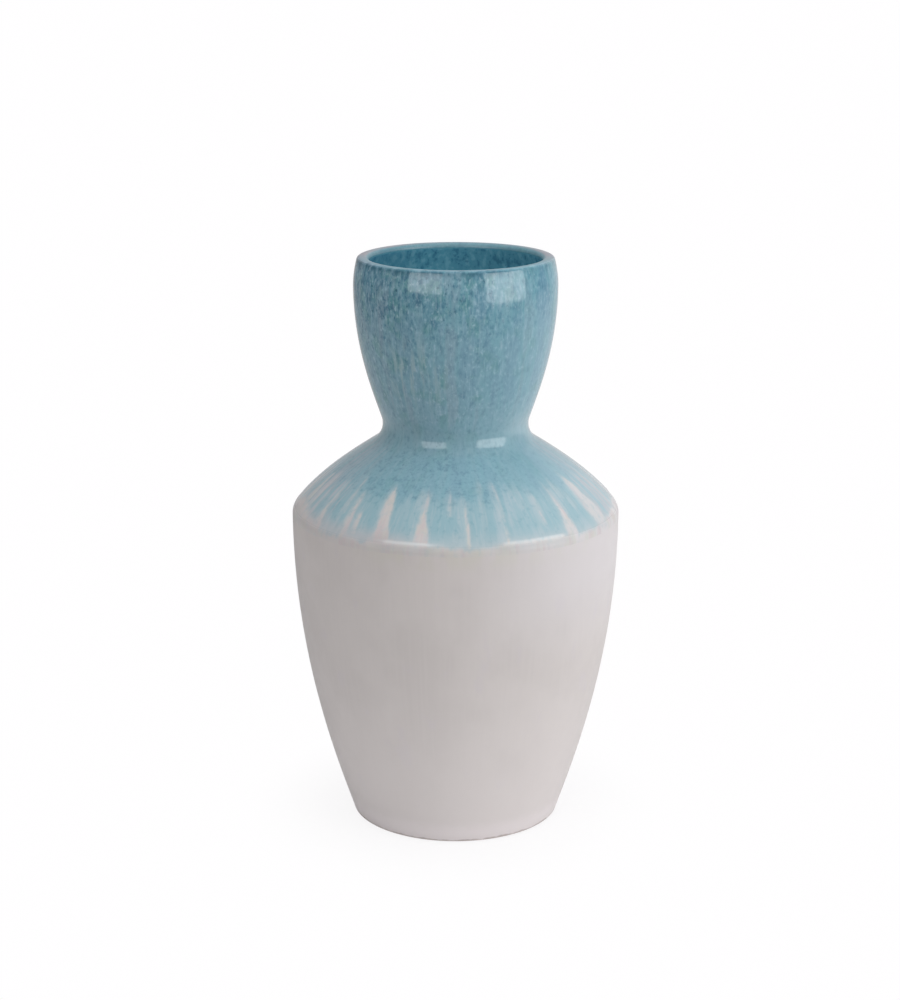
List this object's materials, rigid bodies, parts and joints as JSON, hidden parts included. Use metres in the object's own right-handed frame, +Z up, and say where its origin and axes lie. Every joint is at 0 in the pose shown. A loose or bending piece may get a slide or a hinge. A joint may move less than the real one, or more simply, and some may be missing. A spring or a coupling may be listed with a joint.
{
  "type": "vase",
  "caption": "Free-standing glazed terracotta vase with a tapered body, sharp domed shoulder, narrow waist and cup-shaped neck, for cut or dried flowers.",
  "frame": {"origin": "centre of the foot ring, on the surface that the vase stands on", "axes": "+Z up along the axis of revolution, out of the mouth; +X and +Y are alike, with -Y the side that faces the camera in the picture"},
  "size_m": [0.2, 0.2, 0.35],
  "materials": {
    "terracotta": "matt low-fired clay, fine grain with pale grog",
    "luting_slip": "matt fired slip, finer than the clay that it joins",
    "cream_glaze": "glossy off-white glaze with faint mottling",
    "blue_glaze": "glossy speckled blue glaze, streaked and breaking pale where it runs thin over the shoulder and lip",
    "liner_glaze": "glossy deep teal glaze, speckled"
  },
  "bodies": {
    "root": {"lower_body": "terracotta", "shoulder_seam": "luting_slip", "shoulder": "terracotta", "waist_seam": "luting_slip", "neck_cup": "terracotta", "cream_glaze": "cream_glaze", "blue_glaze": "blue_glaze", "liner_glaze": "liner_glaze"}
  },
  "joints": []
}
